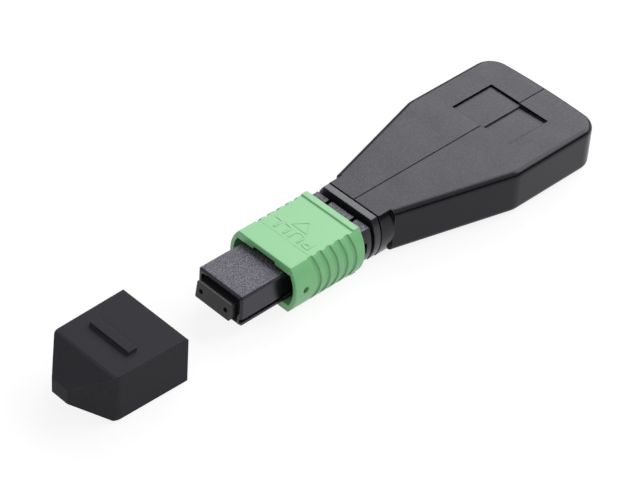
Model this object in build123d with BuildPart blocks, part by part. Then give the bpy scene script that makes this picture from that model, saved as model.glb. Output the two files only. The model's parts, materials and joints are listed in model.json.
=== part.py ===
"""Fibre loopback plug: a push-on twelve-fibre plug whose six fibres loop back on themselves inside a
flat two-piece shell, with its dust cap pulled off and lying in line in front of the nose.

Millimetres. X runs along the plug from the nose (-X) to the rounded back (+X), Y runs across it and Z
is up. The origin is the centre of the ferrule's mating face, midway between the guide pin holes.
"""

import os
from math import acos, degrees, pi, radians, sin, tan

from build123d import *

os.makedirs("parts", exist_ok=True)

# Fits between pieces
slide_clearance = 0.08
snap_clearance = 0.1
seat_clearance = 0.05
seam_gap = 0.13

# Ferrule, with its two guide pin holes and its row of fibre holes
ferrule_width = 6.4
ferrule_height = 2.5
ferrule_length = 8.0
ferrule_edge = 0.12
face_angle = 8.0
shoulder_width = 7.0
shoulder_height = 3.0
shoulder_length = 2.0
pin_pitch = 4.6
pin_hole_diameter = 0.7
pocket_width = 3.6
pocket_height = 1.6
pocket_front = 2.8
window_length = 2.2
window_width = 3.2
window_setback = 0.3
ferrule_travel = 0.8

# Fibres: bare glass in the ferrule, coated behind it
loop_count = 6
fibre_pitch = 0.25
glass_diameter = 0.125
glass_clearance = 0.003
coated_diameter = 0.24
coat_start = 3.4
loop_side_clearance = 0.52
loop_end_clearance = 2.13
loop_spacing = 0.3
entry_radius = 12.0

# Rubber boot behind the ferrule
boot_front = 5.4
boot_length = 4.2
boot_slot_width = 3.1
boot_slot_height = 0.3

# Pin keeper, which carries the spring's front end
keeper_width = 6.9
keeper_height = 3.0
keeper_length = 2.1
pilot_width = 4.5
pilot_height = 1.9
pilot_length = 0.9

# Oval spring behind the keeper
ferrule_spring_length = 6.5
ferrule_spring_wire = 0.4
ferrule_spring_width = 6.4
ferrule_spring_height = 3.1
ferrule_spring_turns = 5

# Inner housing
nose_setback = 1.07
nose_width = 8.24
nose_height = 4.86
nose_bevel = 0.28
nose_reach = 7.6
housing_length = 21.95
mouth_opening_width = 6.9
mouth_opening_height = 3.9
mouth_opening_depth = 3.4
mouth_opening_corner = 0.5
block_half_height = 2.7
block_flat = 4.85
block_bulge = 5.5
catch_length = 7.0
catch_height = 3.1
catch_offset = 0.3
catch_depth = 0.35
catch_corner = 0.5
catch_relief_below = 0.5
catch_relief_behind = 2.2
key_width = 3.9
key_height = 0.52
key_setback = 3.9
key_length = 5.0
spring_slot_width = 0.55
spring_slot_offset = 2.05
spring_slot_length = 4.4
barb_window_length = 1.9
barb_window_height = 1.8
barb_window_setback = 0.8
stop_lug_length = 0.9
stop_lug_reach = 0.65
stop_lug_height = 2.2

# Coupling sleeve
sleeve_length = 12.43
sleeve_flat = 4.87
sleeve_half_height = 3.72
sleeve_bulge = 6.3
sleeve_edge = 0.15
sleeve_lip_length = 1.5
sleeve_inner_bulge = 5.65
sleeve_inner_flat = 4.95
sleeve_travel = 2.0
notch_width = 4.14
notch_half_height = 3.05
band_length = 1.25
band_height = 0.18
grip_count = 5
grip_pitch = 1.62
grip_width = 0.85
grip_depth = 0.19
grip_start = 3.03
grip_bow = 0.65
marker_hole_diameter = 1.0
marker_hole_setback = 1.78
spring_rib_setback = 2.9
spring_rib_length = 0.8
spring_rib_height = 2.2

# Round return springs of the sleeve
sleeve_spring_length = 6.0
sleeve_spring_wire = 0.2
sleeve_spring_radius = 0.55
sleeve_spring_turns = 9

# Spring push, the rear piece that snaps into the inner housing
push_width = 7.0
push_height = 3.4
push_slot_width = 3.7
push_slot_height = 1.1
flange_gap = 0.6
flange_thickness = 1.2
flange_flat = 4.45
flange_bulge = 5.55
barb_reach = 1.65
barb_ramp = 1.2
post_width = 7.4
post_height = 3.6
post_length = 1.5
ring_width = 8.2
ring_height = 4.6
ring_length = 1.5
tail_width = 6.4
tail_height = 2.8
tail_length = 2.7

# Two-piece shell
shell_length = 37.9
shell_half_height = 3.42
shell_wall = 1.2
shell_roof = 1.4
shell_edge = 0.9
neck_flat = 4.55
neck_bulge = 5.55
neck_length = 2.25
neck_overlap = 1.3
flare_width = 11.04
body_width = 20.96
flare_length = 18.54
shoulder_radius = 4.0
corner_radius = 3.2
rear_bow = 0.45
parting_width = 0.16
parting_depth = 0.15
hub_clearance = 1.18
hub_wall = 0.7
peg_diameter = 0.8
peg_length = 1.1
peg_front_setback = 11.0
peg_rear_setback = 3.15

# Snap tongue of each shell half, and the recess that thins its root
tongue_setback = 5.73
tongue_length = 7.72
tongue_reach = 5.35
tongue_sink = 0.28
tongue_thickness = 1.0
tongue_root = 0.28
notch_headroom = 0.1
recess_width = 5.05
recess_inner_depth = 0.5
recess_outer_depth = 0.36
hook_length = 3.4
hook_setback = 0.2
hook_drop = 0.8
hook_thickness = 0.8
hook_hub_clearance = 1.0
catch_wall_thickness = 0.8

# Dust cap
cap_gap = 9.8
cap_width = 12.3
cap_front_width = 11.8
cap_height = 7.3
cap_straight = 11.45
cap_taper = 4.13
cap_nose_width = 2.9
cap_nose_height = 2.3
cap_corner = 1.5
cap_edge = 0.2
cap_bore_width = 10.1
cap_bore_end_gap = 0.5
cap_core_width = 7.2
cap_core_height = 3.2
cap_core_depth = 3.0
cap_home_gap = 0.3
cap_rib_setback = 6.26
cap_rib_length = 1.4
cap_rib_width = 7.3
cap_rib_height = 0.55
cap_guide_thickness = 0.8
cap_guide_height = 1.2
cap_guide_setback = 1.0
cap_guide_end_gap = 0.6

# Places along the plug, each from the piece in front of it
ferrule_rear = ferrule_length
keeper_rear = ferrule_rear + keeper_length
push_front = keeper_rear + ferrule_spring_length
housing_front = nose_setback
housing_rear = housing_front + housing_length
flange_front = housing_rear + flange_gap
flange_rear = flange_front + flange_thickness
shell_front = flange_rear + seam_gap
shell_rear = shell_front + shell_length
ring_front = flange_rear + post_length
ring_rear = ring_front + ring_length
tail_rear = ring_rear + tail_length
sleeve_front = housing_front + nose_reach
sleeve_rear = sleeve_front + sleeve_length
block_front = sleeve_front + sleeve_lip_length + sleeve_travel + snap_clearance
spring_rib_front = sleeve_front + spring_rib_setback
spring_rib_rear = spring_rib_front + spring_rib_length
spring_shoulder = spring_rib_rear + sleeve_spring_length
flare_front = shell_front + neck_length
shoulder_x = flare_front + flare_length
ferrule_seat = ferrule_length - shoulder_length
cavity_width = shoulder_width + 2 * seat_clearance
cavity_height = push_height + 2 * seat_clearance
shell_inner = shell_half_height - shell_roof
loop_outer_radius = body_width / 2 - shell_wall - loop_side_clearance - coated_diameter / 2
loop_inner_radius = loop_outer_radius - (loop_count - 1) * loop_spacing
loop_centre = shell_rear - shell_wall - loop_end_clearance - coated_diameter / 2 - loop_outer_radius
hub_radius = loop_inner_radius - coated_diameter / 2 - hub_clearance
hook_face = hub_radius - hub_wall - hook_hub_clearance - hook_thickness
catch_wall_offset = hook_face - snap_clearance - catch_wall_thickness
cap_mouth = -cap_gap
cap_travel = cap_gap + sleeve_front - cap_home_gap
face_lean = tan(radians(face_angle)) * ferrule_height / 2
cap_bore_depth = sleeve_front - cap_home_gap + face_lean + cap_bore_end_gap


def barrel(x, flat, half_height, bulge):
    """Cross-section at x with a flat top and bottom, and sides that swell out to bulge at mid height."""
    with BuildSketch(Plane.YZ.offset(x)) as section:
        with BuildLine():
            right = ThreePointArc((flat, -half_height), (bulge, 0), (flat, half_height))
            top = Line(right @ 1, (-flat, half_height))
            left = ThreePointArc(top @ 1, (-bulge, 0), (-flat, -half_height))
            Line(left @ 1, right @ 0)
        make_face()
    return section.sketch


def block(x, width, height, corner=0.0):
    """Rectangular cross-section at x, centred on the plug's axis, with rounded corners if asked."""
    with BuildSketch(Plane.YZ.offset(x)) as section:
        if corner:
            RectangleRounded(width, height, corner)
        else:
            Rectangle(width, height)
    return section.sketch


def body_plan(z, inset=0.0):
    """Plan of the flared body at height z, moved in by inset all round."""
    with BuildSketch(Plane.XY.offset(z)) as plan:
        with BuildLine():
            sides = Polyline(
                (shell_rear - rear_bow, body_width / 2),
                (shoulder_x, body_width / 2),
                (flare_front, flare_width / 2),
                (flare_front, -flare_width / 2),
                (shoulder_x, -body_width / 2),
                (shell_rear - rear_bow, -body_width / 2),
            )
            ThreePointArc(sides @ 1, (shell_rear, 0), sides @ 0)
        make_face()
        fillet(plan.vertices().group_by(Axis.X)[1], shoulder_radius)
        fillet(plan.vertices().group_by(Axis.X)[-1], corner_radius)
        if inset:
            offset(amount=-inset, mode=Mode.REPLACE)
    return plan.sketch


# Ferrule: a moulded block whose angled face is polished with the fibre ends flush in it
with BuildPart() as ferrule:
    extrude(block(-face_lean, ferrule_width, ferrule_height), amount=face_lean + ferrule_length)
    chamfer(ferrule.edges().filter_by(Axis.X), ferrule_edge)
    extrude(block(ferrule_seat, shoulder_width, shoulder_height), amount=shoulder_length)
    split(bisect_by=Plane.YZ.rotated((0, face_angle, 0)), keep=Keep.TOP)
    extrude(block(pocket_front, pocket_width, pocket_height), amount=ferrule_length, mode=Mode.SUBTRACT)
    with BuildSketch(Plane.XY.offset(ferrule_height / 2)):
        with Locations((pocket_front + window_setback + window_length / 2, 0)):
            Rectangle(window_length, window_width)
    extrude(amount=-ferrule_height / 2, mode=Mode.SUBTRACT)
    with BuildSketch(Plane.YZ.offset(-face_lean)):
        with GridLocations(pin_pitch, 0, 2, 1):
            Circle(pin_hole_diameter / 2)
    extrude(amount=face_lean + ferrule_length, mode=Mode.SUBTRACT)
    with BuildSketch(Plane.YZ.offset(-face_lean)):
        with GridLocations(fibre_pitch, 0, 2 * loop_count, 1):
            Circle(glass_diameter / 2 + glass_clearance)
    extrude(amount=face_lean + pocket_front, mode=Mode.SUBTRACT)
ferrule.part.label = "ferrule"
export_step(ferrule.part, "parts/ferrule.step")

# Ferrule boot: a soft block in the ferrule's rear pocket with one flat slot for the row of fibres
with BuildPart() as ferrule_boot:
    boot_width = pocket_width - 2 * seat_clearance
    boot_height = pocket_height - 2 * seat_clearance
    extrude(block(boot_front, boot_width, boot_height), amount=boot_length)
    chamfer(ferrule_boot.edges().filter_by(Axis.X), ferrule_edge)
    extrude(block(boot_front, boot_slot_width, boot_slot_height), amount=boot_length, mode=Mode.SUBTRACT)
ferrule_boot.part.label = "ferrule_boot"
export_step(ferrule_boot.part, "parts/ferrule_boot.step")

# Pin keeper: a plate behind the ferrule with empty pin sockets and a pilot for the spring
with BuildPart() as pin_keeper:
    extrude(block(ferrule_rear, keeper_width, keeper_height), amount=keeper_length)
    chamfer(pin_keeper.edges().filter_by(Axis.X), ferrule_edge)
    extrude(block(keeper_rear, pilot_width, pilot_height), amount=pilot_length)
    extrude(
        block(ferrule_rear, pocket_width, pocket_height),
        amount=keeper_length + pilot_length,
        mode=Mode.SUBTRACT,
    )
    with BuildSketch(Plane.YZ.offset(ferrule_rear)):
        with GridLocations(pin_pitch, 0, 2, 1):
            Circle(pin_hole_diameter / 2)
    extrude(amount=keeper_length / 2, mode=Mode.SUBTRACT)
pin_keeper.part.label = "pin_keeper"
export_step(pin_keeper.part, "parts/pin_keeper.step")

# Ferrule spring: an oval coil of round wire, straight across the top and bottom and round at the sides
oval_radius = (ferrule_spring_height - ferrule_spring_wire) / 2
oval_straight = ferrule_spring_width - ferrule_spring_height
oval_slope = (ferrule_spring_length - ferrule_spring_wire) / (
    ferrule_spring_turns * (2 * oval_straight + 2 * pi * oval_radius)
)


def oval_end(x, side):
    """Half a turn of wire round one side of the oval coil, starting at x."""
    bend = Plane(origin=(x, side * oval_straight / 2, 0), x_dir=(0, 0, -side), z_dir=(1, 0, 0))
    rise = pi * oval_radius * oval_slope
    return bend * Helix(2 * rise, rise, oval_radius, mode=Mode.PRIVATE)


with BuildPart() as ferrule_spring:
    with BuildLine() as coil:
        wire_x = keeper_rear + ferrule_spring_wire / 2
        for half_turn in range(2 * ferrule_spring_turns):
            side = 1 if half_turn % 2 == 0 else -1
            Line(
                (wire_x, -side * oval_straight / 2, -side * oval_radius),
                (wire_x + oval_straight * oval_slope, side * oval_straight / 2, -side * oval_radius),
            )
            add(oval_end(wire_x + oval_straight * oval_slope, side))
            wire_x += (oval_straight + pi * oval_radius) * oval_slope
    with BuildSketch(Plane(origin=coil.line @ 0, z_dir=coil.line % 0)):
        Circle(ferrule_spring_wire / 2)
    sweep(path=coil.line)
ferrule_spring.part.label = "ferrule_spring"
export_step(ferrule_spring.part, "parts/ferrule_spring.step")

# Inner housing: the nose that enters the adapter, and the wider block that the sleeve slides on
with BuildPart() as inner_housing:
    extrude(block(housing_front, nose_width, nose_height), amount=spring_shoulder - housing_front)
    chamfer(inner_housing.edges().filter_by(Axis.X), nose_bevel)
    chamfer(inner_housing.faces().sort_by(Axis.X)[0].edges(), nose_bevel)
    extrude(block(block_front, nose_width, 2 * block_half_height), amount=spring_shoulder - block_front)
    extrude(
        barrel(spring_shoulder, block_flat, block_half_height, block_bulge),
        amount=housing_rear - spring_shoulder,
    )
    # Opening round the ferrule, collar that centres it, and the long cavity behind
    extrude(
        block(housing_front, mouth_opening_width, mouth_opening_height, mouth_opening_corner),
        amount=mouth_opening_depth,
        mode=Mode.SUBTRACT,
    )
    extrude(
        block(housing_front, ferrule_width + slide_clearance, ferrule_height + slide_clearance),
        amount=ferrule_seat - housing_front,
        mode=Mode.SUBTRACT,
    )
    extrude(
        block(ferrule_seat, cavity_width, cavity_height),
        amount=housing_rear - ferrule_seat,
        mode=Mode.SUBTRACT,
    )
    # Latch catches on both sides: raised pads left by the relief below and behind them
    catch_rear = housing_front + catch_length
    catch_bottom = catch_offset - catch_height / 2
    catch_top = catch_offset + catch_height / 2
    for side in (-1, 1):
        with BuildSketch(Plane.XZ.offset(-side * (nose_width / 2 - catch_depth))):
            with BuildLine():
                Polyline(
                    (housing_front, catch_bottom),
                    (catch_rear, catch_bottom),
                    (catch_rear, catch_top),
                    (catch_rear + catch_relief_behind, catch_top),
                    (catch_rear + catch_relief_behind, catch_bottom - catch_relief_below),
                    (housing_front, catch_bottom - catch_relief_below),
                    close=True,
                )
            make_face()
        extrude(amount=-side * catch_depth, mode=Mode.SUBTRACT)
    # Key along the underside
    with BuildSketch(Plane.XY.offset(-nose_height / 2)):
        with Locations((housing_front + key_setback + key_length / 2, 0)):
            Rectangle(key_length, key_width)
    extrude(amount=-key_height)
    # Slots that free the top and bottom of the rear end, and the side windows for the barbs
    with BuildSketch(Plane.XY.offset(-block_half_height)):
        with Locations((housing_rear - spring_slot_length / 2, 0)):
            with GridLocations(0, 2 * spring_slot_offset + spring_slot_width, 1, 2):
                Rectangle(spring_slot_length, spring_slot_width)
    extrude(amount=2 * block_half_height, mode=Mode.SUBTRACT)
    with BuildSketch(Plane.XZ.offset(-block_bulge)):
        with Locations((housing_rear - barb_window_setback - barb_window_length / 2, 0)):
            Rectangle(barb_window_length, barb_window_height)
    extrude(amount=2 * block_bulge, mode=Mode.SUBTRACT)
    # Lugs that stop the sleeve from running off forwards
    with BuildSketch(Plane.XY.offset(-stop_lug_height / 2)):
        with Locations((spring_rib_front - seat_clearance - stop_lug_length / 2, 0)):
            Rectangle(stop_lug_length, nose_width + 2 * stop_lug_reach)
            Rectangle(stop_lug_length, cavity_width, mode=Mode.SUBTRACT)
    extrude(amount=stop_lug_height)
inner_housing.part.label = "inner_housing"
export_step(inner_housing.part, "parts/inner_housing.step")

# Coupling sleeve: the grip that is pulled back to free the plug, with a keyed mouth
with BuildPart() as grip_skin:
    grooves_front = sleeve_front + grip_start
    grooves_length = grip_count * grip_pitch + grip_bow
    extrude(
        barrel(grooves_front, sleeve_flat, sleeve_half_height, sleeve_bulge),
        amount=grooves_length,
    )
    extrude(
        barrel(grooves_front, sleeve_flat - grip_depth, sleeve_half_height, sleeve_bulge - grip_depth),
        amount=grooves_length,
        mode=Mode.SUBTRACT,
    )
    with BuildSketch(Plane.XZ.offset(-sleeve_bulge)):
        for groove in range(grip_count):
            front_x = grooves_front + groove * grip_pitch
            rear_x = front_x + grip_width
            with BuildLine():
                front_arc = ThreePointArc(
                    (front_x, -sleeve_half_height), (front_x + grip_bow, 0), (front_x, sleeve_half_height)
                )
                across_top = Line(front_arc @ 1, (rear_x, sleeve_half_height))
                rear_arc = ThreePointArc(
                    across_top @ 1, (rear_x + grip_bow, 0), (rear_x, -sleeve_half_height)
                )
                Line(rear_arc @ 1, front_arc @ 0)
            make_face()
    extrude(amount=2 * sleeve_bulge, mode=Mode.INTERSECT)

with BuildPart() as coupling_sleeve:
    extrude(barrel(sleeve_front, sleeve_flat, sleeve_half_height, sleeve_bulge), amount=sleeve_length)
    fillet(coupling_sleeve.edges().group_by(Axis.X)[0], sleeve_edge)
    fillet(coupling_sleeve.edges().group_by(Axis.X)[-1], sleeve_edge)
    # Raised band at the rear of the top and of the underside
    with BuildSketch(Plane.XZ):
        with BuildLine():
            foot = sleeve_rear - band_length
            Polyline(
                (foot, sleeve_half_height),
                (foot + band_height, sleeve_half_height + band_height),
                (sleeve_rear - sleeve_edge, sleeve_half_height + band_height),
                (sleeve_rear, sleeve_half_height + band_height - sleeve_edge),
                (sleeve_rear, sleeve_half_height - sleeve_edge),
                (foot, sleeve_half_height - sleeve_edge),
                close=True,
            )
        make_face()
        mirror(about=Plane.XZ)
    extrude(amount=sleeve_flat, both=True)
    add(grip_skin.part, mode=Mode.SUBTRACT)
    # Mouth with its two key notches, then the wider bore that rides over the housing
    mouth_half_height = nose_height / 2 + seat_clearance + slide_clearance
    extrude(
        barrel(sleeve_front, sleeve_inner_flat, mouth_half_height, sleeve_inner_bulge),
        amount=sleeve_lip_length,
        mode=Mode.SUBTRACT,
    )
    extrude(block(sleeve_front, notch_width, 2 * notch_half_height), amount=sleeve_lip_length, mode=Mode.SUBTRACT)
    bore_half_height = block_half_height + snap_clearance
    extrude(
        barrel(sleeve_front + sleeve_lip_length, sleeve_inner_flat, bore_half_height, sleeve_inner_bulge),
        amount=sleeve_length - sleeve_lip_length,
        mode=Mode.SUBTRACT,
    )
    # Ribs that carry the front ends of the return springs
    rib_inner = nose_width / 2 + snap_clearance
    for side in (-1, 1):
        with BuildSketch(Plane.XY.offset(-spring_rib_height / 2)):
            with Locations((spring_rib_front, side * rib_inner)):
                Rectangle(
                    spring_rib_length,
                    sleeve_inner_bulge + seat_clearance - rib_inner,
                    align=(Align.MIN, Align.MIN if side > 0 else Align.MAX),
                )
        extrude(amount=spring_rib_height)
    # Round marker hole in the near side
    with BuildSketch(Plane.XZ.offset(sleeve_inner_flat)):
        with Locations((sleeve_front + marker_hole_setback, 0)):
            Circle(marker_hole_diameter / 2)
    extrude(amount=sleeve_bulge - sleeve_inner_flat, mode=Mode.SUBTRACT)
coupling_sleeve.part.label = "coupling_sleeve"
export_step(coupling_sleeve.part, "parts/coupling_sleeve.step")

# Return springs of the sleeve, one in each side channel between housing and sleeve
sleeve_spring_offset = nose_width / 2 + slide_clearance + sleeve_spring_radius + sleeve_spring_wire / 2
sleeve_spring_rise = sleeve_spring_length - sleeve_spring_wire
for side, name in ((-1, "sleeve_spring_left"), (1, "sleeve_spring_right")):
    with BuildPart() as sleeve_spring:
        with BuildLine() as spring_path:
            Helix(
                sleeve_spring_rise / sleeve_spring_turns,
                sleeve_spring_rise,
                sleeve_spring_radius,
                center=(spring_rib_rear + sleeve_spring_wire / 2, side * sleeve_spring_offset, 0),
                direction=(1, 0, 0),
            )
        with BuildSketch(Plane(origin=spring_path.line @ 0, z_dir=spring_path.line % 0)):
            Circle(sleeve_spring_wire / 2)
        sweep(path=spring_path.line, is_frenet=True)
    sleeve_spring.part.label = name
    export_step(sleeve_spring.part, f"parts/{name}.step")

# Spring push: it closes the inner housing, backs the oval spring and is gripped by the shell
with BuildPart() as spring_push:
    extrude(block(push_front, push_width, push_height), amount=flange_front - push_front)
    extrude(block(push_front - pilot_length, pilot_width, pilot_height), amount=pilot_length)
    extrude(barrel(flange_front, flange_flat, shell_half_height, flange_bulge), amount=flange_thickness)
    chamfer(spring_push.edges().group_by(Axis.X)[-1], ferrule_edge)
    extrude(block(flange_rear, post_width, post_height), amount=post_length)
    extrude(block(ring_front, ring_width, ring_height), amount=ring_length)
    extrude(block(ring_rear, tail_width, tail_height), amount=tail_length)
    # Barbs that snap into the side windows of the housing
    barb_rear = housing_rear - barb_window_setback - snap_clearance
    barb_front = barb_rear - barb_window_length + 2 * snap_clearance
    with BuildSketch(Plane.XY.offset(-barb_window_height / 2 + snap_clearance)):
        with BuildLine():
            Polyline(
                (barb_front, push_width / 2),
                (barb_front + barb_ramp, push_width / 2 + barb_reach),
                (barb_rear, push_width / 2 + barb_reach),
                (barb_rear, push_width / 2),
                close=True,
            )
        make_face()
        mirror(about=Plane.XZ)
    extrude(amount=barb_window_height - 2 * snap_clearance)
    extrude(
        block(push_front - pilot_length, push_slot_width, push_slot_height),
        amount=tail_rear - push_front + pilot_length,
        mode=Mode.SUBTRACT,
    )
spring_push.part.label = "spring_push"
export_step(spring_push.part, "parts/spring_push.step")

# Fibre loops: each leaves one fibre hole, swings out round the hub and comes back to the mirrored hole
for loop in range(loop_count):
    fibre_offset = fibre_pitch * (loop + 0.5)
    loop_radius = loop_inner_radius + loop_spacing * loop
    swing = degrees(acos((fibre_offset + entry_radius) / (loop_radius + entry_radius)))
    entry_x = loop_centre - (loop_radius + entry_radius) * sin(radians(swing))
    with BuildPart() as fibre_loop:
        with BuildLine() as route:
            run_in = Line((coat_start, fibre_offset), (entry_x, fibre_offset))
            swing_out = JernArc(run_in @ 1, run_in % 1, entry_radius, swing)
            turn_back = JernArc(swing_out @ 1, swing_out % 1, loop_radius, -(180 + 2 * swing))
            swing_in = JernArc(turn_back @ 1, turn_back % 1, entry_radius, swing)
            Line(swing_in @ 1, (coat_start, -fibre_offset))
        with BuildSketch(Plane.YZ.offset(coat_start)):
            with Locations((fibre_offset, 0)):
                Circle(coated_diameter / 2)
        sweep(path=route.line)
        with BuildSketch(Plane.YZ.offset(coat_start)):
            with GridLocations(2 * fibre_offset, 0, 2, 1):
                Circle(glass_diameter / 2)
        extrude(amount=-coat_start)
    fibre_loop.part.label = f"fibre_loop_{loop + 1}"
    export_step(fibre_loop.part, f"parts/fibre_loop_{loop + 1}.step")

# Shell: two like halves, each turned half round the plug's axis from the other, closed by snap tongues
with BuildPart() as shell_left:
    extrude(body_plan(-shell_half_height), amount=2 * shell_half_height)
    rim = shell_left.faces().filter_by(Axis.Z).edges().filter_by(lambda e: e.center().X > flare_front + shell_edge)
    fillet(rim, shell_edge)
    extrude(
        barrel(shell_front, neck_flat, shell_half_height, neck_bulge),
        amount=neck_length + neck_overlap,
    )
    # Fine groove along the joint between the halves
    with BuildSketch(Plane.XZ):
        with Locations(((shell_front + shell_rear) / 2, 0)):
            Rectangle(shell_length, 2 * shell_half_height)
            Rectangle(
                shell_length - 2 * parting_depth,
                2 * (shell_half_height - parting_depth),
                mode=Mode.SUBTRACT,
            )
    extrude(amount=parting_width / 2, both=True, mode=Mode.SUBTRACT)
    # Seats for the spring push, and the cavity for the loops
    extrude(
        block(shell_front, post_width + 2 * seat_clearance, post_height + 2 * seat_clearance),
        amount=ring_front - shell_front,
        mode=Mode.SUBTRACT,
    )
    extrude(
        block(ring_front - seat_clearance, ring_width + 2 * seat_clearance, ring_height + 2 * seat_clearance),
        amount=ring_length + 2 * seat_clearance,
        mode=Mode.SUBTRACT,
    )
    extrude(
        block(ring_rear, tail_width + 2 * seat_clearance, tail_height + 2 * seat_clearance),
        amount=tail_length + seat_clearance,
        mode=Mode.SUBTRACT,
    )
    extrude(body_plan(-shell_inner, shell_wall), amount=2 * shell_inner, mode=Mode.SUBTRACT)
    split(bisect_by=Plane.XZ, keep=Keep.TOP)
    # Half of the hub that the fibres run round, with the wall that the other half's hook catches
    with BuildSketch(Plane.XY.offset(-shell_inner)):
        with Locations((loop_centre, 0)):
            Circle(hub_radius)
            Circle(hub_radius - hub_wall, mode=Mode.SUBTRACT)
            with Locations((0, -catch_wall_offset)):
                Rectangle(
                    2 * (hub_radius - hub_wall) - hub_wall,
                    catch_wall_thickness,
                    align=(Align.CENTER, Align.MAX),
                )
            Rectangle(2 * hub_radius, hub_radius, align=(Align.CENTER, Align.MAX), mode=Mode.INTERSECT)
    extrude(amount=2 * shell_inner)
    # Snap tongue at the top, its sunk root and the hook under its end
    tongue_rear = shell_rear - tongue_setback
    tongue_front = tongue_rear - tongue_length
    tongue_top = shell_half_height - tongue_sink
    with BuildSketch(Plane.YZ.offset(tongue_front)):
        with BuildLine():
            Polyline(
                (-tongue_root - recess_width, shell_half_height),
                (-tongue_root - recess_width, shell_half_height - recess_outer_depth),
                (-tongue_root, shell_half_height - recess_inner_depth),
                (-tongue_root, tongue_top),
                (0, tongue_top),
                (0, shell_half_height),
                close=True,
            )
        make_face()
    extrude(amount=tongue_length, mode=Mode.SUBTRACT)
    with BuildSketch(Plane.YZ.offset(tongue_front)):
        with Locations((-tongue_root, tongue_top)):
            Rectangle(tongue_root + tongue_reach, tongue_thickness, align=(Align.MIN, Align.MAX))
    extrude(amount=tongue_length)
    with BuildSketch(Plane.XY.offset(tongue_top - tongue_thickness)):
        with Locations((tongue_front + hook_setback, hook_face)):
            Rectangle(hook_length, hook_thickness, align=(Align.MIN, Align.MIN))
    extrude(amount=-hook_drop)
    # Notch in the underside for the tongue of the other half
    with BuildSketch(Plane.XY.offset(-shell_half_height)):
        with Locations((tongue_rear + snap_clearance, 0)):
            Rectangle(
                tongue_length + 2 * snap_clearance,
                tongue_reach + snap_clearance,
                align=(Align.MAX, Align.MAX),
            )
    extrude(amount=shell_roof + notch_headroom, mode=Mode.SUBTRACT)
    # Pegs in the top wall and sockets in the bottom wall
    peg_height = shell_half_height - shell_roof / 2
    peg_front = flare_front + peg_front_setback
    peg_rear = shell_rear - peg_rear_setback
    with BuildSketch(Plane.XZ):
        with Locations((peg_front, peg_height), (peg_rear, peg_height)):
            Circle(peg_diameter / 2)
    extrude(amount=-peg_length)
    with BuildSketch(Plane.XZ):
        with Locations((peg_front, -peg_height), (peg_rear, -peg_height)):
            Circle(peg_diameter / 2 + seat_clearance)
    extrude(amount=peg_length + snap_clearance, mode=Mode.SUBTRACT)
shell_left.part.label = "shell_left"
export_step(shell_left.part, "parts/shell_left.step")

with BuildPart() as shell_right:
    add(shell_left.part.rotate(Axis.X, 180))
shell_right.part.label = "shell_right"
export_step(shell_right.part, "parts/shell_right.step")

# Dust cap: a thick-fronted moulded cap with a grip rib, keyways and guide ribs for the nose
cap_shoulder = cap_mouth - cap_straight
cap_tip = cap_shoulder - cap_taper
with BuildPart() as dust_cap:
    with BuildSketch(Plane.XY.offset(-cap_height / 2)) as cap_plan:
        with BuildLine():
            Polyline(
                (cap_mouth, -cap_width / 2),
                (cap_mouth, cap_width / 2),
                (cap_shoulder, cap_front_width / 2),
                (cap_tip, cap_nose_width / 2),
                (cap_tip, -cap_nose_width / 2),
                (cap_shoulder, -cap_front_width / 2),
                close=True,
            )
        make_face()
        fillet(cap_plan.vertices().group_by(Axis.X)[1], cap_corner)
    extrude(amount=cap_height)
    # Slopes of the front, above and below
    with BuildSketch(Plane.XZ):
        with BuildLine():
            Polyline(
                (cap_shoulder, cap_height / 2),
                (cap_tip, cap_nose_height / 2),
                (cap_tip, cap_height / 2),
                close=True,
            )
        make_face()
        mirror(about=Plane.XZ)
    extrude(amount=cap_width / 2, both=True, mode=Mode.SUBTRACT)
    chamfer(dust_cap.faces().sort_by(Axis.Z)[-1].edges(), cap_edge)
    chamfer(dust_cap.faces().sort_by(Axis.Z)[0].edges(), cap_edge)
    # Grip rib across the top
    with BuildSketch(Plane.XY.offset(cap_height / 2 - cap_edge)):
        with Locations((cap_mouth - cap_rib_setback, 0)):
            Rectangle(cap_rib_length, cap_rib_width, align=(Align.MAX, Align.CENTER))
    extrude(amount=cap_edge + cap_rib_height)
    fillet(dust_cap.faces().sort_by(Axis.Z)[-1].edges(), cap_edge / 2)
    # Bore for the nose, core that thins the front, and keyways
    cap_bore_height = nose_height + 2 * slide_clearance
    extrude(
        block(cap_mouth, cap_bore_width, cap_bore_height),
        amount=-cap_bore_depth,
        mode=Mode.SUBTRACT,
    )
    extrude(
        block(cap_mouth, cap_core_width, cap_core_height),
        amount=-cap_bore_depth - cap_core_depth,
        mode=Mode.SUBTRACT,
    )
    keyway_depth = sleeve_front - cap_home_gap - housing_front - key_setback + snap_clearance
    extrude(
        block(cap_mouth, key_width + 2 * snap_clearance, nose_height + 2 * key_height + 2 * snap_clearance),
        amount=-keyway_depth,
        mode=Mode.SUBTRACT,
    )
    # Guide ribs that hold the nose in the middle of the bore
    guide_inner = nose_width / 2 + slide_clearance
    with BuildSketch(Plane.YZ.offset(cap_mouth - cap_guide_setback)):
        for side in (-1, 1):
            with Locations((side * guide_inner, cap_guide_height), (side * guide_inner, -cap_guide_height)):
                Rectangle(
                    cap_bore_width / 2 - guide_inner,
                    cap_guide_thickness,
                    align=(Align.MIN if side > 0 else Align.MAX, Align.CENTER),
                )
    extrude(amount=cap_guide_setback - cap_bore_depth + cap_guide_end_gap)
dust_cap.part.label = "dust_cap"
export_step(dust_cap.part, "parts/dust_cap.step")

print("cap travel", round(cap_travel, 3), "housing rear", round(housing_rear, 3), "shell rear", round(shell_rear, 3))
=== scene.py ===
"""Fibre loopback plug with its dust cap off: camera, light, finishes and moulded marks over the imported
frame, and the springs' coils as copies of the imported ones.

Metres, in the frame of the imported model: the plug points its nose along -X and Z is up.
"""

import json
from math import pi, radians

import bpy
from mathutils import Matrix, Vector


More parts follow.
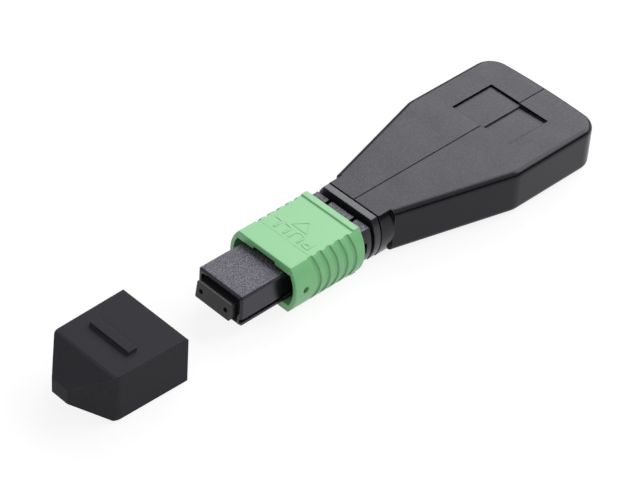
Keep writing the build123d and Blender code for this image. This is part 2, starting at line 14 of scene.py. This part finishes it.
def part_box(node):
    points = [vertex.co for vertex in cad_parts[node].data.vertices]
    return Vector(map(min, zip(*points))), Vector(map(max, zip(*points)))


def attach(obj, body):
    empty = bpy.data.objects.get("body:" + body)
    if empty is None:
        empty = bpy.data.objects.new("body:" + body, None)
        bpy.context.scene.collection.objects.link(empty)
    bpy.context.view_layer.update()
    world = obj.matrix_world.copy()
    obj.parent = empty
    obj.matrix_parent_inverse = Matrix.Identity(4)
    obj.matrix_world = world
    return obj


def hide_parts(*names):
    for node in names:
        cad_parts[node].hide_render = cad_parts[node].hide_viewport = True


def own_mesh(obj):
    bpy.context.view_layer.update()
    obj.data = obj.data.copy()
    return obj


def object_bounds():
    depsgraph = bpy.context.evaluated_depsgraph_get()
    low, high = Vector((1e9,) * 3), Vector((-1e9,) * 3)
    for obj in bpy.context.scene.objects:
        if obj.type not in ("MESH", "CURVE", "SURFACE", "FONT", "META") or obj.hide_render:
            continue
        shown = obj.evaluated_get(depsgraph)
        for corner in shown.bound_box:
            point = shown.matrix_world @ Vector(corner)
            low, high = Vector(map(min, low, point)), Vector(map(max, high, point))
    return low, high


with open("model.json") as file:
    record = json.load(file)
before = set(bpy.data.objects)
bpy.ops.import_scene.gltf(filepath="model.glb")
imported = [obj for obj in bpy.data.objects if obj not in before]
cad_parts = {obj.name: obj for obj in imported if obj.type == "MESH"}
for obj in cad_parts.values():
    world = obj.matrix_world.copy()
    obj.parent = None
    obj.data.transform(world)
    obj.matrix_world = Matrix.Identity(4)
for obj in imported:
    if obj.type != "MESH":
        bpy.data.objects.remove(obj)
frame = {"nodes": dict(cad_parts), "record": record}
nodes = frame["nodes"]
packed_low, packed_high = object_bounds()

# Camera
# It looks down on the plug's near side from in front of the nose, a third of a metre away, through a
# long lens that is turned a few degrees about its own axis.
camera_place = Vector((-0.17763, -0.18504, 0.23051))
camera_aim = Vector((0.02218, 0.00299, -0.00410))
camera_roll = radians(4.19)
camera_data = bpy.data.cameras.new("camera")
camera_data.sensor_width = 36.0
camera_data.lens = 152.1
camera_data.clip_start = 0.01
camera_data.clip_end = 10.0
camera = bpy.data.objects.new("camera", camera_data)
bpy.context.scene.collection.objects.link(camera)
looking = (camera_aim - camera_place).to_track_quat("-Z", "Y").to_matrix().to_4x4()
camera.matrix_world = Matrix.Translation(camera_place) @ looking @ Matrix.Rotation(camera_roll, 4, "Z")
bpy.context.scene.camera = camera
bpy.context.scene.view_settings.view_transform = "Standard"

# Table and room
# A white table top that keeps a soft shadow under the parts, and a white room round it. Both are
# drawn white where the camera or a mirror sees them, and light the parts at a plain level.
table_drop = 0.00002
table_size = 3.0
table_bounce = 0.8
table_shade = 0.17
table_glow = 0.86
room_light = 0.36


def link_chain(tree, *pairs):
    """Joins each pair of sockets in a node tree."""
    for source, target in pairs:
        tree.links.new(source, target)


def seen_directly(tree):
    """A socket that is 1 where a ray comes from the camera or from a mirror or glass."""
    path = tree.nodes.new("ShaderNodeLightPath")
    either = tree.nodes.new("ShaderNodeMath")
    either.operation = "MAXIMUM"
    any_of_three = tree.nodes.new("ShaderNodeMath")
    any_of_three.operation = "MAXIMUM"
    link_chain(
        tree,
        (path.outputs["Is Camera Ray"], either.inputs[0]),
        (path.outputs["Is Glossy Ray"], either.inputs[1]),
        (either.outputs[0], any_of_three.inputs[0]),
        (path.outputs["Is Transmission Ray"], any_of_three.inputs[1]),
    )
    return any_of_three.outputs[0]


table_z = packed_low.z - table_drop
bpy.ops.mesh.primitive_plane_add(size=table_size, location=(0, 0, table_z))
table = bpy.context.object
table.name = "table"
table_paint = bpy.data.materials.new("table_white")
table_paint.use_nodes = True
tree = table_paint.node_tree
tree.nodes.clear()
matt = tree.nodes.new("ShaderNodeBsdfDiffuse")
matt.inputs["Color"].default_value = (table_bounce, table_bounce, table_bounce, 1)
thin_matt = tree.nodes.new("ShaderNodeBsdfDiffuse")
thin_matt.inputs["Color"].default_value = (table_shade, table_shade, table_shade, 1)
glow = tree.nodes.new("ShaderNodeEmission")
glow.inputs["Strength"].default_value = table_glow
shaded_white = tree.nodes.new("ShaderNodeAddShader")
either_way = tree.nodes.new("ShaderNodeMixShader")
table_out = tree.nodes.new("ShaderNodeOutputMaterial")
link_chain(
    tree,
    (thin_matt.outputs[0], shaded_white.inputs[0]),
    (glow.outputs[0], shaded_white.inputs[1]),
    (seen_directly(tree), either_way.inputs["Fac"]),
    (matt.outputs[0], either_way.inputs[1]),
    (shaded_white.outputs[0], either_way.inputs[2]),
    (either_way.outputs[0], table_out.inputs["Surface"]),
)
table.data.materials.append(table_paint)

room = bpy.data.worlds.new("room")
bpy.context.scene.world = room
room.use_nodes = True
tree = room.node_tree
tree.nodes.clear()
soft_light = tree.nodes.new("ShaderNodeBackground")
soft_light.inputs["Strength"].default_value = room_light
white_wall = tree.nodes.new("ShaderNodeBackground")
white_wall.inputs["Color"].default_value = (1, 1, 1, 1)
which = tree.nodes.new("ShaderNodeMixShader")
room_out = tree.nodes.new("ShaderNodeOutputWorld")
link_chain(
    tree,
    (seen_directly(tree), which.inputs["Fac"]),
    (soft_light.outputs[0], which.inputs[1]),
    (white_wall.outputs[0], which.inputs[2]),
    (which.outputs[0], room_out.inputs["Surface"]),
)


# Lamps
# A wide softbox stands behind the plug and to its right, so that the flat tops and their rounded near
# edges catch its sheen, and a small one fills from the front. A low black cloth runs round the table,
# which only shows as a dark line in the rounded edges.
def softbox(name, place, width, height, power):
    """A rectangular lamp at place that faces the plug."""
    data = bpy.data.lights.new(name, "AREA")
    data.shape = "RECTANGLE"
    data.size = width
    data.size_y = height
    data.energy = power
    lamp = bpy.data.objects.new(name, data)
    bpy.context.scene.collection.objects.link(lamp)
    facing = (camera_aim - place).to_track_quat("-Z", "Y").to_matrix().to_4x4()
    lamp.matrix_world = Matrix.Translation(place) @ facing


softbox("wide_softbox", Vector((0.62, 0.05, 0.50)), width=1.15, height=0.6, power=8.6)
softbox("fill_softbox", Vector((-0.65, -0.35, 0.55)), width=0.4, height=0.4, power=1.7)

cloth_black = bpy.data.materials.new("cloth_black")
cloth_black.use_nodes = True
cloth_shader = cloth_black.node_tree.nodes["Principled BSDF"]
cloth_shader.inputs["Base Color"].default_value = (0.01, 0.01, 0.01, 1)
cloth_shader.inputs["Specular IOR Level"].default_value = 0.0
cloth_reach = 0.85
cloth_lift = 0.002
cloth_height = 0.42
cloth_foot = table_z + cloth_lift
cloth_top = cloth_foot + cloth_height
corners = [
    (-cloth_reach, -cloth_reach),
    (cloth_reach, -cloth_reach),
    (cloth_reach, cloth_reach),
    (-cloth_reach, cloth_reach),
]
mesh = bpy.data.meshes.new("black_cloth")
mesh.from_pydata(
    [(x, y, z) for z in (cloth_foot, cloth_top) for x, y in corners],
    [],
    [(side, (side + 1) % 4, (side + 1) % 4 + 4, side + 4) for side in range(4)],
)
mesh.materials.append(cloth_black)
cloth = bpy.data.objects.new("black_cloth", mesh)
bpy.context.scene.collection.objects.link(cloth)
cloth.visible_camera = False
cloth.visible_diffuse = False
cloth.visible_shadow = False


# Ferrule
# A block of filled black resin, moulded round its fibre holes and polished at the front face, which
# leans back eight degrees. The finish group made here also serves every other moulded piece.
def shader_group(name, inputs, outputs):
    """An empty shader group with named inputs and outputs, and its two end nodes."""
    group = bpy.data.node_groups.new(name, "ShaderNodeTree")
    for label, kind, value in inputs:
        group.interface.new_socket(label, in_out="INPUT", socket_type=kind).default_value = value
    for label, kind in outputs:
        group.interface.new_socket(label, in_out="OUTPUT", socket_type=kind)
    return group, group.nodes.new("NodeGroupInput"), group.nodes.new("NodeGroupOutput")


def moulded_finish_group():
    """Moulded plastic: grain that can fade on the sides, with painted highlights on its peaks, a faint
    cloudiness, painted shade in hollows, and painted highlights on rounded edges.

    Open is 1 on a free face and falls in a hollow, for the material to take its sheen down with the
    painted shade.
    """
    group, given, out = shader_group(
        "moulded_finish",
        [
            ("Colour", "NodeSocketColor", (0.5, 0.5, 0.5, 1)),
            ("Rough", "NodeSocketFloat", 0.45),
            ("Grain Scale", "NodeSocketFloat", 6000.0),
            ("Grain Bump", "NodeSocketFloat", 0.3),
            ("Side Smooth", "NodeSocketFloat", 0.0),
            ("Speckle", "NodeSocketFloat", 0.0),
            ("Cloud", "NodeSocketFloat", 0.1),
            ("Edge Radius", "NodeSocketFloat", 0.0001),
            ("Edge Light", "NodeSocketFloat", 0.0),
            ("Hollow Dark", "NodeSocketFloat", 0.0),
        ],
        [
            ("Colour", "NodeSocketColor"),
            ("Rough", "NodeSocketFloat"),
            ("Normal", "NodeSocketVector"),
            ("Open", "NodeSocketFloat"),
        ],
    )
    make = group.nodes.new

    def sums(kind, first, second=None, third=None):
        """A Math node of that kind over sockets or numbers."""
        node = make("ShaderNodeMath")
        node.operation = kind
        for socket, source in zip(node.inputs, (first, second, third)):
            if isinstance(source, (int, float)):
                socket.default_value = source
            elif source is not None:
                group.links.new(source, socket)
        return node.outputs[0]

    def blended(factor, first, second):
        """The colour first turning into second; second may be a plain colour."""
        mix = make("ShaderNodeMix")
        mix.data_type = "RGBA"
        group.links.new(factor, mix.inputs["Factor"])
        group.links.new(first, mix.inputs["A"])
        if isinstance(second, tuple):
            mix.inputs["B"].default_value = second
        else:
            group.links.new(second, mix.inputs["B"])
        return mix.outputs["Result"]

    def ramp(source, low, high):
        """0 where source is at low, 1 where it is at high."""
        ranged = make("ShaderNodeMapRange")
        ranged.inputs["From Min"].default_value = low
        ranged.inputs["From Max"].default_value = high
        group.links.new(source, ranged.inputs["Value"])
        return ranged.outputs["Result"]

    place = make("ShaderNodeTexCoord").outputs["Object"]
    grain = make("ShaderNodeTexNoise")
    grain.inputs["Detail"].default_value = 2.0
    grain.inputs["Roughness"].default_value = 0.55
    cloud = make("ShaderNodeTexNoise")
    cloud.inputs["Scale"].default_value = 260.0
    cloud.inputs["Detail"].default_value = 4.0
    rounded = make("ShaderNodeBevel")
    rounded.samples = 4
    bump = make("ShaderNodeBump")
    bump.inputs["Distance"].default_value = 0.00005
    link_chain(
        group,
        (place, grain.inputs["Vector"]),
        (given.outputs["Grain Scale"], grain.inputs["Scale"]),
        (place, cloud.inputs["Vector"]),
        (given.outputs["Edge Radius"], rounded.inputs["Radius"]),
        (grain.outputs["Fac"], bump.inputs["Height"]),
        (rounded.outputs["Normal"], bump.inputs["Normal"]),
        (bump.outputs["Normal"], out.inputs["Normal"]),
    )

    # Smooth sides: the flat top and bottom keep the grain, and the sides lose Side Smooth's share of it
    upright = make("ShaderNodeSeparateXYZ")
    group.links.new(make("ShaderNodeTexCoord").outputs["Normal"], upright.inputs[0])
    leaning = ramp(sums("ABSOLUTE", upright.outputs["Z"]), 0.99, 0.9)
    kept = sums("SUBTRACT", 1.0, sums("MULTIPLY", leaning, given.outputs["Side Smooth"]))
    group.links.new(sums("MULTIPLY", given.outputs["Grain Bump"], kept), bump.inputs["Strength"])
    speckle = sums("MULTIPLY", given.outputs["Speckle"], kept)
    half_kept = sums("MULTIPLY_ADD", kept, 0.5, 0.5)
    rough = sums("MULTIPLY", given.outputs["Rough"], half_kept)

    # Cloudiness: the colour and the sheen swing a little round their own values
    away = sums("SUBTRACT", cloud.outputs["Fac"], 0.5)
    cloudy = sums("MULTIPLY_ADD", away, given.outputs["Cloud"], 1.0)
    tinted = make("ShaderNodeVectorMath")
    tinted.operation = "SCALE"
    group.links.new(given.outputs["Colour"], tinted.inputs[0])
    group.links.new(cloudy, tinted.inputs["Scale"])

    # Grain: painted highlights, a paler colour on the peaks of the moulded texture, stand for the light
    # they catch
    peaks = ramp(grain.outputs["Fac"], 0.46, 0.68)
    peak_highlit_colour = blended(sums("MULTIPLY", peaks, speckle), tinted.outputs[0], (0.62, 0.60, 0.68, 1))

    # Painted shade: corners and grooves, where little light gets in, are painted deeper in tone by ambient
    # occlusion and given less sheen
    corner = make("ShaderNodeAmbientOcclusion")
    corner.samples = 6
    corner.inputs["Distance"].default_value = 0.0007
    deep = ramp(corner.outputs["AO"], 0.92, 0.55)
    deeper = make("ShaderNodeVectorMath")
    deeper.operation = "MULTIPLY"
    group.links.new(peak_highlit_colour, deeper.inputs[0])
    group.links.new(peak_highlit_colour, deeper.inputs[1])
    hollow = sums("MULTIPLY", deep, given.outputs["Hollow Dark"])
    hollowed = blended(hollow, peak_highlit_colour, deeper.outputs[0])
    group.links.new(sums("SUBTRACT", 1.0, hollow), out.inputs["Open"])

    # Painted highlights on edges: where the rounded normal leaves the flat one, the colour is painted a
    # little paler
    agreement = make("ShaderNodeVectorMath")
    agreement.operation = "DOT_PRODUCT"
    group.links.new(make("ShaderNodeNewGeometry").outputs["True Normal"], agreement.inputs[0])
    group.links.new(rounded.outputs["Normal"], agreement.inputs[1])
    painted_edge_highlight = sums("MULTIPLY", ramp(agreement.outputs["Value"], 0.995, 0.8), given.outputs["Edge Light"])
    group.links.new(blended(painted_edge_highlight, hollowed, (0.75, 0.75, 0.77, 1)), out.inputs["Colour"])
    group.links.new(sums("MULTIPLY", rough, cloudy), out.inputs["Rough"])
    return group


moulded_finish = moulded_finish_group()


def principled_material(name):
    """A new material with its tree and its shader node."""
    material = bpy.data.materials.new(name)
    material.use_nodes = True
    tree = material.node_tree
    return material, tree, tree.nodes["Principled BSDF"]


def moulded_plastic(name, colour, rough, shine=0.5, tint=(1, 1, 1), **finish):
    """Moulded plastic of that colour, with the finish group's inputs given by name."""
    material, tree, shader = principled_material(name)
    finish_node = tree.nodes.new("ShaderNodeGroup")
    finish_node.node_tree = moulded_finish
    finish_node.inputs["Colour"].default_value = (*colour, 1)
    finish_node.inputs["Rough"].default_value = rough
    for label, value in finish.items():
        finish_node.inputs[label.replace("_", " ").title()].default_value = value
    # The sheen follows the finish's Open, and so takes the painted shade of the hollows
    sheen = tree.nodes.new("ShaderNodeMath")
    sheen.operation = "MULTIPLY"
    sheen.inputs[1].default_value = shine
    shader.inputs["Specular Tint"].default_value = (*tint, 1)
    link_chain(
        tree,
        (finish_node.outputs["Open"], sheen.inputs[0]),
        (sheen.outputs[0], shader.inputs["Specular IOR Level"]),
        (finish_node.outputs["Colour"], shader.inputs["Base Color"]),
        (finish_node.outputs["Rough"], shader.inputs["Roughness"]),
        (finish_node.outputs["Normal"], shader.inputs["Normal"]),
    )
    return material


def dress(material, *names):
    """Gives the material to the CAD pieces with those names."""
    for name in names:
        mesh = nodes[name].data
        mesh.materials.clear()
        mesh.materials.append(material)


ferrule_resin = moulded_plastic(
    "ferrule_resin", (0.016, 0.016, 0.018), rough=0.25, shine=0.3, grain_bump=0.04, edge_radius=0.00005
)
dress(ferrule_resin, "ferrule")

# Boot and pin keeper
# The boot is a soft black rubber block that steadies the fibres in the back of the ferrule. The
# keeper behind it is a plain black moulding with empty sockets, since this plug carries no pins.
boot_rubber = moulded_plastic(
    "boot_rubber", (0.016, 0.016, 0.016), rough=0.75, shine=0.3, grain_bump=0.2, edge_radius=0.00005
)
dress(boot_rubber, "ferrule_boot")
keeper_plastic = moulded_plastic(
    "keeper_plastic", (0.020, 0.020, 0.022), rough=0.45, shine=0.4, grain_bump=0.12, edge_radius=0.00006
)
dress(keeper_plastic, "pin_keeper")


# Springs
# Drawn stainless wire with fine streaks: an oval coil pushes the ferrule forwards, and a small round
# coil in each side channel pushes the sleeve. Each is shown as a copy of the imported coil, hung on the
# plug's body in place of the original.
def drawn_wire_material():
    """Bright steel, slightly browner and duller in fine streaks."""
    material, tree, shader = principled_material("spring_steel")
    shader.inputs["Metallic"].default_value = 1.0
    place = tree.nodes.new("ShaderNodeTexCoord")
    streak = tree.nodes.new("ShaderNodeTexNoise")
    streak.inputs["Scale"].default_value = 9000.0
    streak.inputs["Detail"].default_value = 2.0
    tint = tree.nodes.new("ShaderNodeMix")
    tint.data_type = "RGBA"
    tint.inputs["A"].default_value = (0.56, 0.56, 0.57, 1)
    tint.inputs["B"].default_value = (0.42, 0.40, 0.38, 1)
    rough = tree.nodes.new("ShaderNodeMapRange")
    rough.inputs["To Min"].default_value = 0.22
    rough.inputs["To Max"].default_value = 0.42
    link_chain(
        tree,
        (place.outputs["Object"], streak.inputs["Vector"]),
        (streak.outputs["Fac"], tint.inputs["Factor"]),
        (streak.outputs["Fac"], rough.inputs["Value"]),
        (tint.outputs["Result"], shader.inputs["Base Color"]),
        (rough.outputs["Result"], shader.inputs["Roughness"]),
    )
    return material


dress(drawn_wire_material(), "ferrule_spring", "sleeve_spring_left", "sleeve_spring_right")
for joint in frame["record"]["behaviour"]["joints"]:
    for spring in joint.get("deforming_nodes", []):
        coil = bpy.data.objects.new(f"{spring['node']}_coil", nodes[spring["node"]].data.copy())
        bpy.context.scene.collection.objects.link(coil)
        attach(coil, "plug")
        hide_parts(spring["node"])
        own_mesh(coil)

# Fibre loops
# Six glass fibres in a thin coloured coating, each in its own colour of the usual order. The bare
# glass ends lie polished flush in the ferrule's face and look dark, as clear glass in black resin does.
fibre_colours = [
    (0.02, 0.12, 0.55),
    (0.85, 0.25, 0.02),
    (0.02, 0.40, 0.08),
    (0.20, 0.08, 0.03),
    (0.25, 0.27, 0.30),
    (0.80, 0.80, 0.80),
]
bare_glass = (0.018, 0.018, 0.02, 1)
coating_start = 0.0034
streak_share = 0.75


def coated_fibre(number, colour):
    """A smooth, faintly streaked coloured coating that gives way to bare glass ahead of coating_start."""
    material, tree, shader = principled_material(f"fibre_coating_{number}")
    shader.inputs["Roughness"].default_value = 0.25
    shader.inputs["Specular IOR Level"].default_value = 0.3
    place = tree.nodes.new("ShaderNodeTexCoord")
    along = tree.nodes.new("ShaderNodeSeparateXYZ")
    coated = tree.nodes.new("ShaderNodeMath")
    coated.operation = "GREATER_THAN"
    coated.inputs[1].default_value = coating_start
    streak = tree.nodes.new("ShaderNodeTexNoise")
    streak.inputs["Scale"].default_value = 900.0
    uneven = tree.nodes.new("ShaderNodeMix")
    uneven.data_type = "RGBA"
    uneven.inputs["A"].default_value = (*colour, 1)
    uneven.inputs["B"].default_value = (*[streak_share * part for part in colour], 1)
    ends = tree.nodes.new("ShaderNodeMix")
    ends.data_type = "RGBA"
    ends.inputs["A"].default_value = bare_glass
    link_chain(
        tree,
        (place.outputs["Object"], along.inputs[0]),
        (place.outputs["Object"], streak.inputs["Vector"]),
        (along.outputs["X"], coated.inputs[0]),
        (streak.outputs["Fac"], uneven.inputs["Factor"]),
        (coated.outputs[0], ends.inputs["Factor"]),
        (uneven.outputs["Result"], ends.inputs["B"]),
        (ends.outputs["Result"], shader.inputs["Base Color"]),
    )
    return material


for number, colour in enumerate(fibre_colours, start=1):
    dress(coated_fibre(number, colour), f"fibre_loop_{number}")

# Spring push
# A black moulding that snaps into the back of the inner housing. Its flange shows as a bar between
# the sleeve and the shell.
push_plastic = moulded_plastic(
    "push_plastic",
    (0.008, 0.008, 0.009),
    rough=0.3,
    shine=0.5,
    tint=(0.90, 0.92, 1.0),
    grain_bump=0.06,
    # Faint painted highlights on the grain's peaks
    speckle=0.02,
    edge_radius=0.00022,
)
dress(push_plastic, "spring_push")

# Inner housing
# The dark grey body of the connector, moulded in a spark-eroded tool, so that its flat faces have a
# sandy grain. The light the grain's peaks catch is painted on them as paler highlights, and its hollows
# and corners carry painted shade.
housing_plastic = moulded_plastic(
    "housing_plastic",
    (0.008, 0.0078, 0.0095),
    rough=0.4,
    shine=0.42,
    tint=(0.84, 0.79, 1.0),
    grain_scale=6500.0,
    grain_bump=0.55,
    side_smooth=0.95,
    speckle=0.36,
    edge_radius=0.00012,
    hollow_dark=0.9,
)
dress(housing_plastic, "inner_housing")

# Coupling sleeve
# The green grip that is pulled back to free the plug, in satin plastic. Its colour says that the
# fibre ends are polished at an angle. Its edges carry painted highlights, and its grooves a light
# painted shade.
sleeve_green = (0.19, 0.52, 0.22)
sleeve_plastic = moulded_plastic(
    "sleeve_plastic",
    sleeve_green,
    rough=0.4,
    shine=0.65,
    grain_bump=0.05,
    cloud=0.08,
    edge_radius=0.00014,
    edge_light=0.45,
    hollow_dark=0.25,
)
dress(sleeve_plastic, "coupling_sleeve")

# Marks on the sleeve
# The word that tells the hand what to do, a triangle that points to the shell, and the fine line that
# the mould's insert leaves in front of them. All stand a little proud. The word and the triangle are in
# the sleeve's own plastic, and the fine line is painted a paler green, a painted highlight along it.
mark_height = 0.00004
mark_edge = 0.00004
word_front = 0.01280
word_length = 0.00180
word_left = -0.0037
word_width = 0.0074
arrow_base = 0.0149
arrow_tip = 0.0168
arrow_half_width = 0.0014
insert_line = 0.01218
insert_line_height = 0.00001
insert_line_width = 0.00012
insert_line_reach = 0.0044
band_height = 0.00018
sleeve_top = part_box("coupling_sleeve")[1].z - band_height


def raised_mark(name, data, low, high, height, material=sleeve_plastic):
    """Lays a flat text or curve on the sleeve, raised by height, in the rectangle from low to high."""
    # Made thick enough for a bevelled edge, and squeezed to its height below
    data.extrude = 0.001
    data.bevel_depth = 0.0003
    data.bevel_resolution = 1
    flat = bpy.data.objects.new(name, data)
    bpy.context.scene.collection.objects.link(flat)
    shown = flat.evaluated_get(bpy.context.evaluated_depsgraph_get())
    mesh = bpy.data.meshes.new_from_object(shown)
    bpy.data.objects.remove(flat)
    mesh.transform(Matrix.Rotation(pi / 2, 4, "Z"))
    ends = [(min(v.co[i] for v in mesh.vertices), max(v.co[i] for v in mesh.vertices)) for i in range(3)]
    bottom, top = sleeve_top - mark_edge, sleeve_top + height
    for v in mesh.vertices:
        for i, (new_low, new_high) in enumerate(((low[0], high[0]), (low[1], high[1]), (bottom, top))):
            old_low, old_high = ends[i]
            v.co[i] = new_low + (v.co[i] - old_low) / (old_high - old_low) * (new_high - new_low)
    mesh.materials.clear()
    mesh.materials.append(material)
    mark = bpy.data.objects.new(name, mesh)
    bpy.context.scene.collection.objects.link(mark)
    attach(mark, "sleeve")


word_data = bpy.data.curves.new("word", "FONT")
word_data.body = "PULL"
word_data.size = 0.05
word_data.space_character = 1.12
raised_mark(
    "pull_word",
    word_data,
    (word_front, word_left),
    (word_front + word_length, word_left + word_width),
    mark_height,
)


def closed_shape(name, corners):
    """A flat filled curve through those corners."""
    data = bpy.data.curves.new(name, "CURVE")
    data.dimensions = "2D"
    line = data.splines.new("POLY")
    line.points.add(len(corners) - 1)
    for point, corner in zip(line.points, corners):
        point.co = (*corner, 0, 1)
    line.use_cyclic_u = True
    return data


raised_mark(
    "pull_arrow",
    closed_shape("arrow", [(-0.05, 0.05), (0.05, 0.05), (0.0, -0.05)]),
    (arrow_base, -arrow_half_width),
    (arrow_tip, arrow_half_width),
    mark_height,
)
# A paler green for the fine line: a painted highlight along it
insert_line_highlight_green = (0.33, 0.66, 0.37)
insert_line_highlight_plastic = moulded_plastic(
    "insert_line_highlight_plastic", insert_line_highlight_green, rough=0.4, shine=0.65, grain_bump=0.05, edge_radius=0.00014
)
raised_mark(
    "insert_line",
    closed_shape("insert", [(-0.05, 0.005), (0.05, 0.005), (0.05, -0.005), (-0.05, -0.005)]),
    (insert_line, -insert_line_reach),
    (insert_line + insert_line_width, insert_line_reach),
    insert_line_height,
    insert_line_highlight_plastic,
)

# Shell
# Two halves of black plastic that snap together round the fibre loops. The flat tops and undersides have
# a fine satin grain, while the long sides and the rounded edges are nearly smooth. Their hollows and
# gaps carry painted shade, their edges painted highlights, and the grain's peaks faint painted highlights.
shell_plastic = moulded_plastic(
    "shell_plastic",
    (0.005, 0.005, 0.0065),
    rough=0.34,
    shine=0.25,
    tint=(0.90, 0.88, 1.0),
    grain_scale=4500.0,
    grain_bump=0.17,
    side_smooth=0.9,
    speckle=0.04,
    cloud=0.45,
    edge_radius=0.00012,
    edge_light=0.14,
    hollow_dark=0.8,
)
dress(shell_plastic, "shell_left", "shell_right")

# Dust cap
# A soft black moulding that is pushed over the nose to keep the ferrule clean, with a grip rib on
# top. Its surface is duller than the shell's, with hardly any sheen. Its edges carry faint painted
# highlights, and its grain's peaks fainter ones.
cap_plastic = moulded_plastic(
    "cap_plastic",
    (0.029, 0.0285, 0.033),
    rough=0.6,
    shine=0.08,
    tint=(0.90, 0.88, 1.0),
    grain_bump=0.06,
    speckle=0.012,
    edge_radius=0.00014,
    edge_light=0.06,
)
dress(cap_plastic, "dust_cap")
